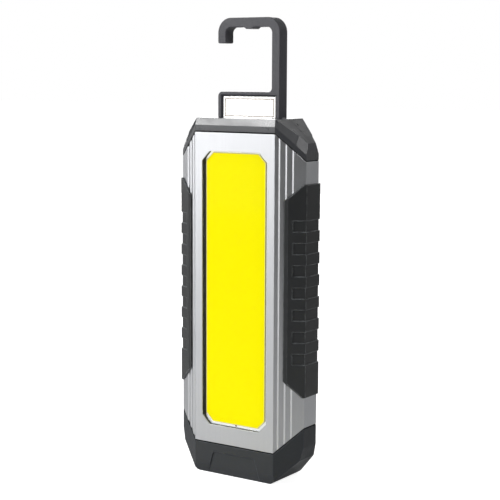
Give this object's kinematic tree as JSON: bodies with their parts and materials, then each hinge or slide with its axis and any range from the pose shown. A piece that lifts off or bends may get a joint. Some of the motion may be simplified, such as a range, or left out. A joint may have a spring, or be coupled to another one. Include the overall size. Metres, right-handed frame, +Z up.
{
  "type": "work light",
  "caption": "Rechargeable hand work light: ribbed aluminium body, flat light panel, rubber side grips and a folding hook with a magnet in its base.",
  "frame": {"origin": "middle of the flat foot that the light stands on", "axes": "+Z up along the body, -Y the lit front, +X to the viewer's right facing the front"},
  "size_m": [0.0744, 0.026, 0.2241],
  "materials": {
    "aluminium_body": "fine satin, clear anodised",
    "cap_plastic": "fine spark-eroded texture",
    "base_plastic": "soft-touch matt",
    "hook_plastic": "coarse spark-eroded texture",
    "grip_rubber": "matt moulded rubber",
    "seal_rubber": "matt",
    "lens_clear": "polished clear moulding",
    "phosphor": "smooth silicone with phosphor",
    "dam_silicone": "white silicone bead",
    "light_board": "white solder mask on aluminium",
    "thermal_tape": "soft pad",
    "plate_aluminium": "mill finish",
    "steel": "zinc plated",
    "nickel": "bright nickel plate",
    "cell_wrap": "shrink sleeve",
    "holder_plastic": "moulded",
    "circuit_board": "solder mask",
    "component_black": "moulded",
    "foam": "closed-cell foam",
    "wire_red": "silicone insulation",
    "switch_cream": "moulded"
  },
  "bodies": {
    "housing": {"housing_extrusion": "aluminium_body", "top_cap": "cap_plastic", "bottom_cap": "base_plastic", "top_cap_seal": "seal_rubber", "bottom_cap_seal": "seal_rubber", "cap_screws": "steel", "grip_left": "grip_rubber", "grip_right": "grip_rubber", "lens": "lens_clear", "lens_gasket": "seal_rubber", "phosphor_panel": "phosphor", "phosphor_dam": "dam_silicone", "led_board": "light_board", "thermal_pad": "thermal_tape", "heat_plate": "plate_aluminium", "battery_cell_left": "cell_wrap", "battery_cell_right": "cell_wrap", "cell_holder": "holder_plastic", "cell_tabs": "nickel", "cell_pad": "foam", "driver_board": "circuit_board", "driver_components": "component_black", "usb_socket": "steel", "switch_board": "circuit_board", "switch_body": "component_black", "hinge_pin": "steel", "hinge_washers": "steel", "port_flap_pin": "steel", "led_wires": "wire_red", "battery_wires": "wire_red", "switch_wires": "wire_red"},
    "hook": {"hook": "hook_plastic", "magnet_cup": "nickel", "magnet_block": "nickel"},
    "power_button": {"power_button": "grip_rubber", "switch_plunger": "switch_cream"},
    "port_flap": {"port_flap": "seal_rubber"}
  },
  "joints": [
    {"name": "hook_fold", "type": "hinge", "parent": "housing", "child": "hook", "pos_m": [0, 0.00228, 0.1734], "axis": [-1, 0, 0], "range_deg": [0, 90]},
    {"name": "button_press", "type": "slide", "parent": "housing", "child": "power_button", "axis": [1, 0, 0], "range_m": [0, 0.0005], "stiffness_N_per_m": 600, "springref_m": -0.0005},
    {"name": "flap_open", "type": "hinge", "parent": "housing", "child": "port_flap", "pos_m": [0, 0.0044, 0.00125], "axis": [1, 0, 0], "range_deg": [0, 100]}
  ]
}
